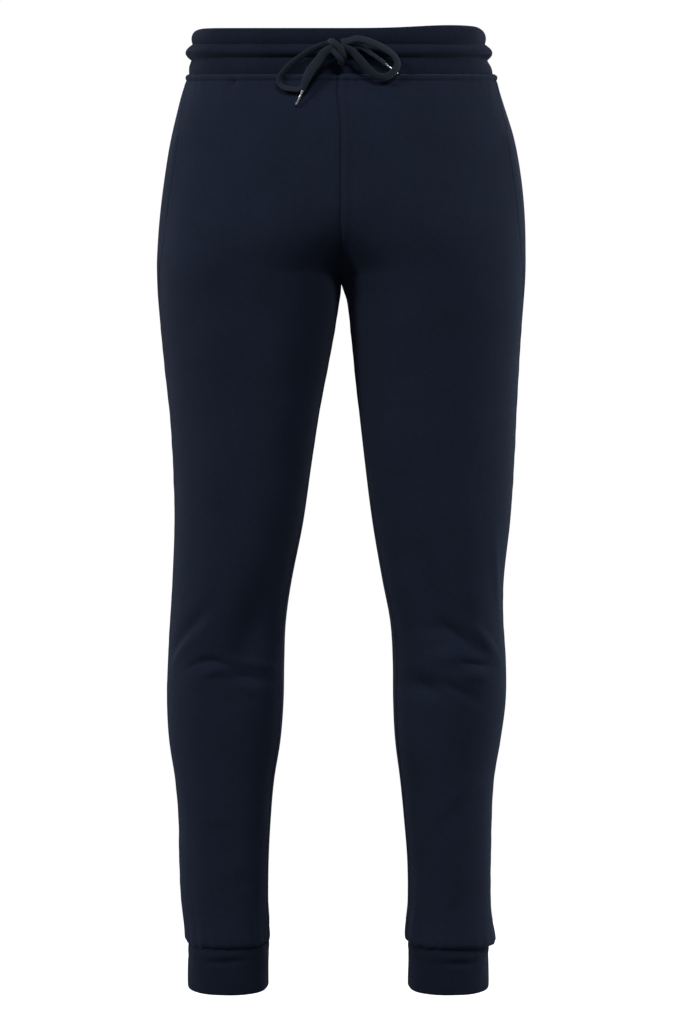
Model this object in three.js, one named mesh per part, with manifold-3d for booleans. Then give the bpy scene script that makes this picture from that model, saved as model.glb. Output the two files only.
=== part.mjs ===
// Jogger sweatpants, filled out as worn, with no wearer in them. Millimetres, +Z up, the front
// faces -Y, and "left" is the wearer's left, at +X. The origin is the centre of the waistband.
//
// Each leg is a stack of rounded sections, from the waist to the cuff. Above the crotch the
// centre plane cuts the two stacks off, and the line of the cut is the centre seam, front and
// back. Below it each section is a whole ring, which the side seam and the inseam split.
import * as THREE from "three";
import { mergeVertices } from "three/addons/utils/BufferGeometryUtils.js";
import Module from "manifold-3d";

const wasm = await Module();
wasm.setup();

// ---- Driving dimensions ---------------------------------------------------
const FLEECE = 2; // wall of the body panels
const CUFF_WALL = 3; // rib folded double
const BAND_WALL = 4.5; // rib folded over the elastic
const SEAM_GAP = 0.3; // what two sewn pieces keep between them

const WAIST_TOP = 23;
const WAIST_SEAM = -27;
const CROTCH = -241;
const CUFF_SEAM = -930;
const CUFF_HEM = -979;

const FORK_TOP = -60; // the legs begin to round away from the centre plane here,
const FORK_POWER = 3.5; // do so slowly at first,
const FORK_ARCH = 1.5; // and meet the crotch in an arch
const SQUARENESS = 0.05; // how far a section fills the corners of its box

const STITCH_ROWS = [6, -7.5]; // levels of the two stitch rows that divide the waistband
const ROLL_HEIGHTS = [2.2, 3.6, 2.4]; // how far each roll between them stands proud
const ROLL_STEPS = 3;
const BAND_COLUMNS = 44;
const TOP_RISE = { x: 112, spread: 48, height: 3 }; // where the band's top edge stands higher

const POCKET_TOP = -86;
const POCKET_FOOT = -229;
const HEM_WIDTH = 9;
const HEM_WALL = 1.2;
const CUFF_COLUMNS = 24;

const CORD_WIDTH = 8;
const CORD_DEPTH = 4.6;
const EYELET_X = 15; // each buttonhole, out from the centre front
const EYELET_Z = -18;
const EYELET_SIZE = { width: 7, height: 11, depth: 2.6 };
const CUTTER_LENGTH = 20;
const ROOT_WIDTH = 4; // the cord bunches where it enters a buttonhole
const TIP_LENGTH = 14;
const TIP_RADIUS = 1.5;
const TIP_GAP = 0.5;

const COLOURS = { fleece: 0x1a2130, rib: 0x181d29, cord: 0x232934, tip: 0xa9adb3 };

// ---- Tables ---------------------------------------------------------------
// Outline of each leg from the front: its outer and inner edge, out from the centre plane. Above
// the crotch the fork formula gives the inner edge.
const OUTLINES = {
  left: [
    { z: 23, outer: 147.5, inner: 0 },
    { z: 6, outer: 150.5, inner: 0 },
    { z: -7.5, outer: 153.5, inner: 0 },
    { z: -27, outer: 160, inner: 0 },
    { z: -52, outer: 167.5, inner: 0 },
    { z: -94, outer: 180, inner: 0 },
    { z: -136, outer: 187.5, inner: 0 },
    { z: -178, outer: 191.5, inner: 0 },
    { z: -220, outer: 192.5, inner: 0 },
    { z: -241, outer: 192, inner: 0.2 },
    { z: -262, outer: 190.5, inner: 4.5 },
    { z: -304, outer: 187, inner: 10.5 },
    { z: -366, outer: 183.5, inner: 17.8 },
    { z: -429, outer: 180, inner: 25 },
    { z: -492, outer: 176, inner: 33.5 },
    { z: -555, outer: 169.5, inner: 44 },
    { z: -597, outer: 169, inner: 51.5 },
    { z: -639, outer: 171.5, inner: 54.4 },
    { z: -681, outer: 171.5, inner: 55.5 },
    { z: -722, outer: 166.5, inner: 57.6 },
    { z: -764, outer: 159.5, inner: 62.5 },
    { z: -806, outer: 157, inner: 66.5 },
    { z: -848, outer: 156, inner: 70 },
    { z: -890, outer: 156, inner: 70.5 },
    { z: -912, outer: 157.5, inner: 67 },
    { z: -924, outer: 158.5, inner: 66 },
    { z: -930, outer: 154, inner: 70.5 },
    { z: -979, outer: 154, inner: 70.3 },
  ],
  right: [
    { z: 23, outer: 153, inner: 0 },
    { z: 6, outer: 155.5, inner: 0 },
    { z: -7.5, outer: 157, inner: 0 },
    { z: -27, outer: 159.5, inner: 0 },
    { z: -52, outer: 167, inner: 0 },
    { z: -94, outer: 177, inner: 0 },
    { z: -136, outer: 183.5, inner: 0 },
    { z: -178, outer: 188.5, inner: 0 },
    { z: -220, outer: 191.5, inner: 0 },
    { z: -241, outer: 191.5, inner: 0.2 },
    { z: -262, outer: 190.5, inner: 2.6 },
    { z: -304, outer: 186.5, inner: 9.4 },
    { z: -366, outer: 180, inner: 21 },
    { z: -429, outer: 175, inner: 30.4 },
    { z: -492, outer: 173, inner: 39.8 },
    { z: -555, outer: 175.5, inner: 52.4 },
    { z: -597, outer: 178, inner: 58 },
    { z: -639, outer: 180, inner: 59.7 },
    { z: -681, outer: 181, inner: 61 },
    { z: -722, outer: 179, inner: 64.5 },
    { z: -764, outer: 173, inner: 71 },
    { z: -806, outer: 169.5, inner: 74.3 },
    { z: -848, outer: 168.5, inner: 76.4 },
    { z: -890, outer: 166.5, inner: 77 },
    { z: -912, outer: 165, inner: 75.4 },
    { z: -924, outer: 163.5, inner: 74.8 },
    { z: -930, outer: 160, inner: 77 },
    { z: -979, outer: 159.5, inner: 77.5 },
  ],
};

// Side view and seams, the same on both legs: the depth of the front and of the back from the
// mid plane, how steeply a level line falls towards the front, and how many degrees the side
// seam and the inseam lie forward of the leg's outer and inner edge.
const DEPTHS = [
  { z: 23, front: 99, back: 99, tilt: 0.168, side: 12, inseam: 0 },
  { z: -27, front: 103, back: 103, tilt: 0.152, side: 12, inseam: 0 },
  { z: -60, front: 112, back: 113, tilt: 0.13, side: 17, inseam: 0 },
  { z: -100, front: 119, back: 124, tilt: 0.1, side: 21, inseam: 0 },
  { z: -150, front: 122, back: 132, tilt: 0.06, side: 22, inseam: 0 },
  { z: -200, front: 119, back: 133, tilt: 0.02, side: 22, inseam: 0 },
  { z: -241, front: 111, back: 125, tilt: 0, side: 20, inseam: 0 },
  { z: -304, front: 100, back: 109, tilt: 0, side: 11, inseam: 4 },
  { z: -366, front: 91, back: 98, tilt: 0, side: 4, inseam: 8 },
  { z: -429, front: 84, back: 90, tilt: 0, side: 0, inseam: 12 },
  { z: -492, front: 78, back: 82, tilt: 0, side: -3, inseam: 15 },
  { z: -555, front: 74, back: 74, tilt: 0, side: -5, inseam: 18 },
  { z: -597, front: 72.5, back: 68, tilt: 0, side: -5, inseam: 19 },
  { z: -639, front: 70, back: 65, tilt: 0, side: -5, inseam: 20 },
  { z: -681, front: 65, back: 65, tilt: 0, side: -5, inseam: 20 },
  { z: -722, front: 60, back: 66, tilt: 0, side: -5, inseam: 20 },
  { z: -764, front: 55, back: 65, tilt: 0, side: -5, inseam: 20 },
  { z: -806, front: 51, back: 62, tilt: 0, side: -5, inseam: 19 },
  { z: -848, front: 47, back: 57, tilt: 0.01, side: -5, inseam: 18 },
  { z: -890, front: 45, back: 51, tilt: 0.04, side: -5, inseam: 18 },
  { z: -912, front: 45.5, back: 49, tilt: 0.08, side: -5, inseam: 18 },
  { z: -924, front: 45.5, back: 48, tilt: 0.1, side: -5, inseam: 18 },
  { z: -930, front: 42.5, back: 45.5, tilt: 0.1, side: -5, inseam: 18 },
  { z: -979, front: 42, back: 45, tilt: 0.1, side: -5, inseam: 18 },
];

// The centre front seam's drift off the centre plane, towards +X.
const CENTRE_SEAM = [
  { z: -27, drift: -3 },
  { z: -47, drift: -3.4 },
  { z: -75, drift: -0.6 },
  { z: -100, drift: 0 },
  { z: -241, drift: 0 },
];

// The largest folds: where each lies (degrees round the leg, with 0 at the outer edge, 90 in
// front, 180 at the inner edge and -90 behind), how far it runs and spreads, how high it stands,
// or how deep it sinks where that is negative, and how many degrees it climbs towards the
// inner edge.
const FOLDS = {
  left: [
    { z: -609, around: 96, run: 30, spread: 8, height: -3.5, climb: 8 },
    { z: -635, around: 53, run: 14, spread: 8, height: -4, climb: 45 },
    { z: -630, around: 91, run: 20, spread: 11, height: 3.5, climb: 0 },
    { z: -648, around: 117, run: 24, spread: 7, height: -3.5, climb: 19 },
    { z: -787, around: 69, run: 34, spread: 11, height: -2, climb: -45 },
    { z: -612, around: -80, run: 34, spread: 10, height: -4, climb: 12 },
    { z: -655, around: -110, run: 30, spread: 10, height: -4, climb: -14 },
    { z: -300, around: -125, run: 50, spread: 16, height: -4, climb: 35 },
  ],
  right: [
    { z: -607, around: 117, run: 30, spread: 15, height: -4, climb: -35 },
    { z: -637, around: 82, run: 26, spread: 7, height: -3.5, climb: 10 },
    { z: -650, around: 120, run: 22, spread: 7, height: -3.5, climb: -10 },
    { z: -628, around: 54, run: 16, spread: 8, height: 3, climb: 57 },
    { z: -618, around: -95, run: 34, spread: 10, height: -4, climb: -10 },
    { z: -662, around: -70, run: 28, spread: 10, height: -4, climb: 16 },
    { z: -306, around: -122, run: 50, spread: 16, height: -4, climb: 32 },
  ],
};

// Rows of a panel, by the stretches that they divide.
const PANEL_COLUMNS = 9;
const PANEL_STRETCHES = [
  { from: WAIST_SEAM - SEAM_GAP / 2, to: POCKET_TOP, rows: 2 },
  { from: POCKET_TOP, to: -190, rows: 4 },
  { from: -190, to: POCKET_FOOT, rows: 4 },
  { from: POCKET_FOOT, to: CROTCH, rows: 2 },
  { from: CROTCH, to: -580, rows: 9 },
  { from: -580, to: -690, rows: 7 },
  { from: -690, to: -905, rows: 6 },
  { from: -905, to: CUFF_SEAM + SEAM_GAP / 2, rows: 4 },
];

// Routes of the cord's bows and free ends, from the knot outwards. The right end curls away
// behind the right bow.
const ROUTES = {
  drawcord_loop_left: [
    [-9, -113.4, -12.6], [-15, -113, -12.2], [-22, -111.8, -14.4], [-32, -110, -19], [-47, -107.5, -29],
    [-57, -106.3, -38], [-62, -105.8, -45], [-62, -105.8, -50.5], [-57, -107.4, -55.5],
    [-50, -109, -57], [-43, -110, -57.5], [-36.5, -110.2, -53], [-32, -110.2, -43],
    [-25, -110.4, -33], [-17, -110.8, -26], [-9, -111.5, -21],
  ],
  drawcord_loop_right: [
    [0, -117.5, -11], [8, -117.4, -9.5], [16.5, -117, -7.5], [30, -114.5, -10.5], [44, -111.5, -16.8],
    [54, -109.2, -24], [57, -108.8, -32.4], [52.5, -109.2, -40.3], [44.5, -110.7, -45.2],
    [36, -112.5, -44.2], [29, -114.5, -39], [19, -117, -28.3], [10, -118, -19.5], [0, -118.5, -16],
  ],
  drawcord_end_left: [
    [-5, -119, -17], [-11, -119, -18], [-17, -118.8, -22], [-23, -118.3, -30], [-30, -118, -39],
    [-35, -117.6, -49], [-38.6, -117, -60],
  ],
  drawcord_end_right: [
    [-3, -112.5, -16], [5, -112.5, -14.6], [13, -111.8, -13.8], [21, -110.4, -15], [29, -108.6, -20],
    [38, -106.2, -26], [45, -105, -31.2],
  ],
};
const TIP_AIMS = { left: [-0.43, 0.2, -0.9], right: [0.79, 0.08, -0.6] }; // which way each tip points
const KNOT = { at: [-5, -115, -18], radii: [9, 7.4, 12] };

// ---- The form of a leg ----------------------------------------------------
function slopeAt(rows, index, column) {
  const above = rows[Math.max(index - 1, 0)];
  const below = rows[Math.min(index + 1, rows.length - 1)];
  return (above[column] - below[column]) / (above.z - below.z);
}

// A table's column at level z, as a smooth curve through its rows.
function sample(rows, z, column) {
  const level = THREE.MathUtils.clamp(z, rows.at(-1).z, rows[0].z);
  const next = Math.max(1, rows.findIndex((row) => row.z <= level));
  const [top, bottom] = [rows[next - 1], rows[next]];
  const span = bottom.z - top.z;
  const t = (level - top.z) / span;
  const rise = slopeAt(rows, next - 1, column) * span;
  const fall = slopeAt(rows, next, column) * span;
  return (
    top[column] * (1 + 2 * t) * (1 - t) ** 2 +
    rise * t * (1 - t) ** 2 +
    bottom[column] * t ** 2 * (3 - 2 * t) +
    fall * t ** 2 * (t - 1)
  );
}

// The section of one leg at level z: its middle, half width and depths.
function sectionAt(side, z) {
  const outer = sample(OUTLINES[side], z, "outer");
  let inner = sample(OUTLINES[side], z, "inner");
  if (z > CROTCH) {
    const fall = THREE.MathUtils.clamp((z - FORK_TOP) / (CROTCH - FORK_TOP), 0, 1);
    const rounding = 1 - (1 - fall ** FORK_POWER) ** FORK_ARCH;
    inner = (-outer * (1 - rounding)) / (1 + rounding) + SEAM_GAP / 2;
  }
  return {
    inner,
    middle: (outer + inner) / 2,
    half: (outer - inner) / 2,
    front: sample(DEPTHS, z, "front"),
    back: sample(DEPTHS, z, "back"),
    tilt: sample(DEPTHS, z, "tilt"),
  };
}

// How far the folds lift the cloth at one point of a leg.
function foldLift(side, section, angle, z) {
  let lift = 0;
  for (const fold of FOLDS[side]) {
    const turn = angle - THREE.MathUtils.degToRad(fold.around);
    const arc = Math.atan2(Math.sin(turn), Math.cos(turn)) * section.half;
    const climb = THREE.MathUtils.degToRad(fold.climb);
    const along = arc * Math.cos(climb) + (z - fold.z) * Math.sin(climb);
    const across = (z - fold.z) * Math.cos(climb) - arc * Math.sin(climb);
    lift += fold.height * Math.exp(-((along / fold.run) ** 2) - (across / fold.spread) ** 2);
  }
  return lift;
}

// The outer face of the cloth on one leg, at an angle round it and a level, moved out by proud.
function legPoint(side, angle, z, proud = 0) {
  const section = sectionAt(side, z);
  const lift = foldLift(side, section, angle, z) + proud;
  const corner = 1 + SQUARENESS * Math.sin(2 * angle) ** 2;
  const depth = Math.sin(angle) > 0 ? section.front : section.back;
  const outward = section.middle + (section.half + lift) * Math.cos(angle) * corner;
  const y = -(depth + lift) * Math.sin(angle) * corner;
  return new THREE.Vector3(side === "left" ? outward : -outward, y, z + section.tilt * y);
}

// Unit normal of that face, out of the garment.
function legNormal(side, angle, z) {
  const turn = 0.01;
  const step = 1;
  const round = legPoint(side, angle + turn, z).sub(legPoint(side, angle - turn, z));
  const down = legPoint(side, angle, z - step).sub(legPoint(side, angle, z + step));
  const normal = round.cross(down).normalize();
  return side === "left" ? normal : normal.negate();
}

// The angle that half of a seam's gap takes at one point.
function gapAngle(side, angle, z) {
  const turn = 0.01;
  const length = legPoint(side, angle + turn, z).distanceTo(legPoint(side, angle - turn, z));
  return ((SEAM_GAP / 2) * 2 * turn) / length;
}

// Where a panel of one leg starts, at the centre seam or the inseam, and where it ends, at the
// side seam, at level z. A front runs round the front and a back round the back.
function panelEdges(side, face, z) {
  const section = sectionAt(side, z);
  const drift = face === "front" ? sample(CENTRE_SEAM, z, "drift") : 0;
  const cut = SEAM_GAP / 2 + (side === "left" ? drift : -drift);
  const inseam = THREE.MathUtils.degToRad(sample(DEPTHS, z, "inseam"));
  const sideSeam = THREE.MathUtils.degToRad(sample(DEPTHS, z, "side"));
  const way = face === "front" ? 1 : -1;
  const seam = Math.PI - way * inseam;
  let start = seam - gapAngle(side, seam, z);
  if (section.inner < cut) {
    let fork = Math.PI / 2;
    for (let round = 0; round < 12; round += 1) {
      const corner = 1 + SQUARENESS * Math.sin(2 * fork) ** 2;
      fork = Math.acos(THREE.MathUtils.clamp((cut - section.middle) / (section.half * corner), -1, 1));
    }
    start = Math.min(start, fork);
  }
  return { start: way * start, end: sideSeam + way * gapAngle(side, sideSeam, z) };
}

// ---- Closed bodies --------------------------------------------------------
// A body through rings of points. Each ring is a closed polygon. The last ring joins the first
// on a hoop; otherwise each end is closed by strips between the ring's two halves.
function loft(rings, hoop) {
  const size = rings[0].length;
  const faces = [];
  const quad = (a, b, c, d) => faces.push(a, b, c, a, c, d);
  const spans = hoop ? rings.length : rings.length - 1;
  for (let ring = 0; ring < spans; ring += 1) {
    const here = ring * size;
    const there = ((ring + 1) % rings.length) * size;
    for (let i = 0; i < size; i += 1) {
      const j = (i + 1) % size;
      quad(here + i, here + j, there + j, there + i);
    }
  }
  if (!hoop) {
    const end = (rings.length - 1) * size;
    for (let i = 0; i < size / 2 - 1; i += 1) {
      quad(i + 1, i, size - 1 - i, size - 2 - i);
      quad(end + i, end + i + 1, end + size - 2 - i, end + size - 1 - i);
    }
  }
  return closedBody(rings.flat(), faces);
}

// A geometry from points and faces, turned so that its faces point out.
function closedBody(points, faces) {
  let volume = 0;
  for (let i = 0; i < faces.length; i += 3) {
    const [a, b, c] = [points[faces[i]], points[faces[i + 1]], points[faces[i + 2]]];
    volume += a.dot(b.clone().cross(c));
  }
  const turned = volume < 0 ? faces.toReversed() : faces;
  const geometry = new THREE.BufferGeometry().setFromPoints(points);
  geometry.setIndex(turned);
  return geometry;
}

function steps(from, to, count) {
  return Array.from({ length: count + 1 }, (_, i) => from + ((to - from) * i) / count);
}

function toSolid(geometry) {
  const bare = geometry.clone();
  bare.deleteAttribute("normal");
  bare.deleteAttribute("uv");
  const merged = mergeVertices(bare, 1e-4);
  return new wasm.Manifold(
    new wasm.Mesh({
      numProp: 3,
      vertProperties: Float32Array.from(merged.attributes.position.array),
      triVerts: Uint32Array.from(merged.index.array),
    }),
  );
}

function toGeometry(solid) {
  const mesh = solid.getMesh();
  const geometry = new THREE.BufferGeometry();
  geometry.setAttribute("position", new THREE.BufferAttribute(mesh.vertProperties, 3));
  geometry.setIndex(new THREE.BufferAttribute(mesh.triVerts, 1));
  return geometry;
}

// ---- Body panels ----------------------------------------------------------
const panelLevels = PANEL_STRETCHES.flatMap(({ from, to, rows }) => steps(from, to, rows).slice(1));
panelLevels.unshift(PANEL_STRETCHES[0].from);

// The angles of a panel's columns at level z. The last column is as wide as a pocket's hem.
function panelAngles(side, face, z) {
  const { start, end } = panelEdges(side, face, z);
  const hem = (Math.abs(gapAngle(side, end, z)) * HEM_WIDTH) / (SEAM_GAP / 2);
  return [...steps(start, end + Math.sign(start - end) * hem, PANEL_COLUMNS - 1), end];
}

// Points of a leg's cloth at those angles, moved out by height along the normal.
function liftedRow(side, angles, z, height) {
  return angles.map((angle) =>
    legPoint(side, angle, z).addScaledVector(legNormal(side, angle, z), height),
  );
}

function panel(side, face) {
  const rings = panelLevels.map((z) => {
    const angles = panelAngles(side, face, z);
    return [...liftedRow(side, angles, z, 0), ...liftedRow(side, angles, z, -FLEECE).reverse()];
  });
  return loft(rings, false);
}

// The turned hem of a pocket mouth lies on the last column of the front panel.
function pocketHem(side) {
  const levels = panelLevels.filter((z) => z <= POCKET_TOP && z >= POCKET_FOOT);
  const rings = levels.map((z) => {
    const angles = panelAngles(side, "front", z).slice(-2).reverse();
    const underside = liftedRow(side, angles, z, SEAM_GAP);
    return [...liftedRow(side, angles, z, SEAM_GAP + HEM_WALL), ...underside.reverse()];
  });
  return loft(rings, false);
}

// ---- Waistband ------------------------------------------------------------
// The rib swells between the rows of stitching that hold it down.
function rollHeight(z) {
  const lines = [WAIST_TOP, ...STITCH_ROWS, WAIST_SEAM];
  for (let roll = 0; roll < ROLL_HEIGHTS.length; roll += 1) {
    const [top, bottom] = [lines[roll], lines[roll + 1]];
    if (z <= top && z >= bottom) {
      return ROLL_HEIGHTS[roll] * Math.sqrt(Math.sin((Math.PI * (top - z)) / (top - bottom)));
    }
  }
  return 0;
}

// A point of the band, at an angle round the garment. Its top edge rises a little at one place.
function bandPoint(turn, z, proud) {
  const side = Math.cos(turn) >= 0 ? "left" : "right";
  const point = legPoint(side, side === "left" ? turn : Math.PI - turn, z, proud);
  const share = Math.max(0, (z - STITCH_ROWS[0]) / (WAIST_TOP - STITCH_ROWS[0]));
  const near = point.y < 0 ? Math.exp(-(((point.x - TOP_RISE.x) / TOP_RISE.spread) ** 2)) : 0;
  point.z += share * near * TOP_RISE.height;
  return point;
}

function waistband() {
  const lines = [WAIST_TOP, ...STITCH_ROWS, WAIST_SEAM];
  const outer = [WAIST_TOP];
  for (let roll = 0; roll < ROLL_HEIGHTS.length; roll += 1) {
    outer.push(...steps(lines[roll], lines[roll + 1], ROLL_STEPS).slice(1));
  }
  const profile = outer.map((z) => ({ z, proud: rollHeight(z) }));
  profile.push({ z: WAIST_SEAM, proud: -BAND_WALL }, { z: WAIST_TOP, proud: -BAND_WALL });
  const seam = WAIST_SEAM + SEAM_GAP / 2;
  const rings = steps(0, 2 * Math.PI, BAND_COLUMNS)
    .slice(0, -1)
    .map((turn) => profile.map(({ z, proud }) => bandPoint(turn, Math.max(z, seam), proud)));
  return loft(rings, true);
}

// A buttonhole is open through the outer layer only, into the tunnel of the cord.
function buttonhole(x) {
  const { width, height, depth } = EYELET_SIZE;
  const oval = new THREE.Shape();
  oval.absellipse(0, 0, width / 2, height / 2, 0, 2 * Math.PI);
  const settings = { depth: CUTTER_LENGTH, bevelEnabled: false, curveSegments: 5 };
  const cutter = new THREE.ExtrudeGeometry(oval, settings);
  cutter.rotateX(Math.PI / 2);
  cutter.translate(x, bandFront(x) + depth, EYELET_Z);
  return cutter;
}

// The y of the middle roll's crest at x on the front.
function bandFront(x) {
  const crest = (STITCH_ROWS[0] + STITCH_ROWS[1]) / 2;
  const section = sectionAt("left", crest);
  return bandPoint(Math.acos(x / section.half), crest, ROLL_HEIGHTS[1]).y;
}

// ---- Cuffs ----------------------------------------------------------------
function cuff(side) {
  const profile = [
    { z: CUFF_SEAM - SEAM_GAP / 2, proud: -0.4 },
    { z: CUFF_SEAM - 12, proud: 0.6 },
    { z: CUFF_HEM + 12, proud: 0.6 },
    { z: CUFF_HEM + 1.5, proud: 0 },
    { z: CUFF_HEM, proud: -1.2 },
    { z: CUFF_HEM, proud: -CUFF_WALL + 0.4 },
    { z: CUFF_HEM + 1.5, proud: -CUFF_WALL },
    { z: CUFF_SEAM - SEAM_GAP / 2, proud: -CUFF_WALL },
  ];
  const rings = steps(0, 2 * Math.PI, CUFF_COLUMNS)
    .slice(0, -1)
    .map((turn) => profile.map(({ z, proud }) => legPoint(side, turn, z, proud)));
  return loft(rings, true);
}

// ---- Drawcord -------------------------------------------------------------
// A flat cord along a route: its width lies in the plane of the front.
function cordTube(route, width, depth, stepLength) {
  const curve = new THREE.CatmullRomCurve3(route.map((point) => new THREE.Vector3(...point)));
  const sides = 8;
  const oval = new THREE.Shape(
    steps(0, 2 * Math.PI, sides)
      .slice(0, -1)
      .map((turn) => new THREE.Vector2((depth / 2) * Math.cos(turn), (width / 2) * Math.sin(turn))),
  );
  return new THREE.ExtrudeGeometry(oval, {
    steps: Math.ceil(curve.getLength() / stepLength),
    extrudePath: curve,
  });
}

function knotBody(grow) {
  const ball = new THREE.SphereGeometry(1, 14, 9);
  ball.scale(...KNOT.radii.map((radius) => radius + grow));
  ball.translate(...KNOT.at);
  return toSolid(ball);
}

// The knot, and the two roots that run from behind it into the buttonholes.
function knot() {
  let solid = knotBody(0);
  for (const x of [-EYELET_X, EYELET_X]) {
    const mouth = bandFront(x);
    const root = cordTube(
      [
        [KNOT.at[0], KNOT.at[1] + 4.5, EYELET_Z],
        [(KNOT.at[0] + 2 * x) / 3, mouth - 3.1, EYELET_Z],
        [x * 0.97, mouth - 2.4, EYELET_Z],
        [x, mouth + EYELET_SIZE.depth - SEAM_GAP, EYELET_Z],
      ],
      ROOT_WIDTH,
      ROOT_WIDTH,
      ROOT_WIDTH,
    );
    solid = solid.add(toSolid(root));
  }
  return toGeometry(solid);
}

// A bow or a free end meets the knot face to face.
function strand(route) {
  const tube = cordTube(route, CORD_WIDTH, CORD_DEPTH, CORD_WIDTH * 0.75);
  return toGeometry(toSolid(tube).subtract(knotBody(SEAM_GAP)));
}

function tip() {
  const profile = [
    [0, 0], [TIP_RADIUS * 1.15, 0], [TIP_RADIUS, 2], [TIP_RADIUS * 0.8, TIP_LENGTH - 1], [0, TIP_LENGTH],
  ];
  return new THREE.LatheGeometry(
    profile.map(([radius, along]) => new THREE.Vector2(radius, along)),
    10,
  );
}

// ---- The garment ----------------------------------------------------------
const finishes = {
  fleece: new THREE.MeshStandardMaterial({ color: COLOURS.fleece, roughness: 0.95, metalness: 0 }),
  rib: new THREE.MeshStandardMaterial({ color: COLOURS.rib, roughness: 0.95, metalness: 0 }),
  cord: new THREE.MeshStandardMaterial({ color: COLOURS.cord, roughness: 0.85, metalness: 0 }),
  tip: new THREE.MeshStandardMaterial({ color: COLOURS.tip, roughness: 0.3, metalness: 1 }),
};
const garment = new THREE.Group();

function add(name, geometry, finish) {
  const mesh = new THREE.Mesh(geometry, finishes[finish]);
  mesh.name = name;
  garment.add(mesh);
  return mesh;
}

for (const side of ["left", "right"]) {
  add(`front_${side}`, panel(side, "front"), "fleece");
  add(`back_${side}`, panel(side, "back"), "fleece");
  add(`pocket_hem_${side}`, pocketHem(side), "fleece");
  add(`cuff_${side}`, cuff(side), "rib");
}

let band = toSolid(waistband());
for (const x of [-EYELET_X, EYELET_X]) {
  band = band.subtract(toSolid(buttonhole(x)));
}
add("waistband", toGeometry(band), "rib");

add("drawcord_knot", knot(), "cord");
for (const [name, route] of Object.entries(ROUTES)) {
  add(name, strand(route), "cord");
}
for (const side of ["left", "right"]) {
  const aim = new THREE.Vector3(...TIP_AIMS[side]).normalize();
  const end = new THREE.Vector3(...ROUTES[`drawcord_end_${side}`].at(-1));
  const sleeve = add(`cord_tip_${side}`, tip(), "tip");
  sleeve.position.copy(end.addScaledVector(aim, TIP_GAP));
  sleeve.quaternion.setFromUnitVectors(new THREE.Vector3(0, 1, 0), aim);
}

export default garment;
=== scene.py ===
import math
from collections import namedtuple

import bmesh
import bpy
import numpy as np
from mathutils import Matrix, Vector


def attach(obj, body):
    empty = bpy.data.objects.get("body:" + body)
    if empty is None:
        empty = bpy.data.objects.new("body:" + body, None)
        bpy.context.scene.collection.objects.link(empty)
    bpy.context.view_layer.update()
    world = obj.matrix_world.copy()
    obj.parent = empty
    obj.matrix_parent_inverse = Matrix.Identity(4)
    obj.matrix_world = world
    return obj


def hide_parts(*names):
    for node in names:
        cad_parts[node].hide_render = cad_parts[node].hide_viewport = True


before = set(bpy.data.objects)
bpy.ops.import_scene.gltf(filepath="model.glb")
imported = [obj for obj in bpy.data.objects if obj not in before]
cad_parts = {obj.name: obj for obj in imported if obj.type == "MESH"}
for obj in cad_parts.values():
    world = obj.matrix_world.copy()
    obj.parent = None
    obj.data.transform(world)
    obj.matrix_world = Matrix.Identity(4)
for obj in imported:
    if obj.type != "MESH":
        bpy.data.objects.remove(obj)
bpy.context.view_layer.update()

scene = bpy.context.scene
MM = 0.001


# ---- Camera -------------------------------------------------------------------------------
# It stands level and straight on to the front, at half the garment's height, far enough away
# that the legs look as parallel as they are cut.
VIEW_DISTANCE = 3.0
VIEW_HEIGHT = -0.4837
SHOWN_HEIGHT = 1.072        # what the frame takes in at the waist's mid plane

lens = bpy.data.cameras.new("camera")
lens.sensor_width = 36.0
lens.lens = lens.sensor_width * VIEW_DISTANCE / SHOWN_HEIGHT
camera = bpy.data.objects.new("camera", lens)
camera.location = (0.0005, -VIEW_DISTANCE, VIEW_HEIGHT)
camera.rotation_euler = (math.pi / 2, 0, 0)
scene.collection.objects.link(camera)
scene.camera = camera


# ---- Drawcord -----------------------------------------------------------------------------
# A flat braid of soft cotton, 8.5 mm wide, runs in the waistband's tunnel, comes out of two
# buttonholes and is tied in a bow. Each end has a crimped metal sleeve that keeps it from
# fraying; the bows stand a little off the cloth and the ends hang over them.
CORD_WIDTH = 8.5
CORD_DEPTH = 3.6
EYELET_X = 15
EYELET_Z = -18
CORD_COLOUR = (0.0195, 0.0260, 0.0410)


def smooth(knots, values, at):
    """Reads a curve through values, which stand at rising knots, at many places."""
    knots = np.asarray(knots, float)
    values = np.asarray(values, float)
    slopes = np.empty_like(values)
    slopes[1:-1] = (values[2:] - values[:-2]) / (knots[2:] - knots[:-2])
    slopes[0] = (values[1] - values[0]) / (knots[1] - knots[0])
    slopes[-1] = (values[-1] - values[-2]) / (knots[-1] - knots[-2])
    at = np.clip(at, knots[0], knots[-1])
    i = np.clip(np.searchsorted(knots, at) - 1, 0, len(knots) - 2)
    span = knots[i + 1] - knots[i]
    t = (at - knots[i]) / span
    return (
        values[i] * (1 + 2 * t) * (1 - t) ** 2
        + slopes[i] * span * t * (1 - t) ** 2
        + values[i + 1] * t**2 * (3 - 2 * t)
        + slopes[i + 1] * span * t**2 * (t - 1)
    )


def unit(vectors):
    return vectors / np.linalg.norm(vectors, axis=-1, keepdims=True)


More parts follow.
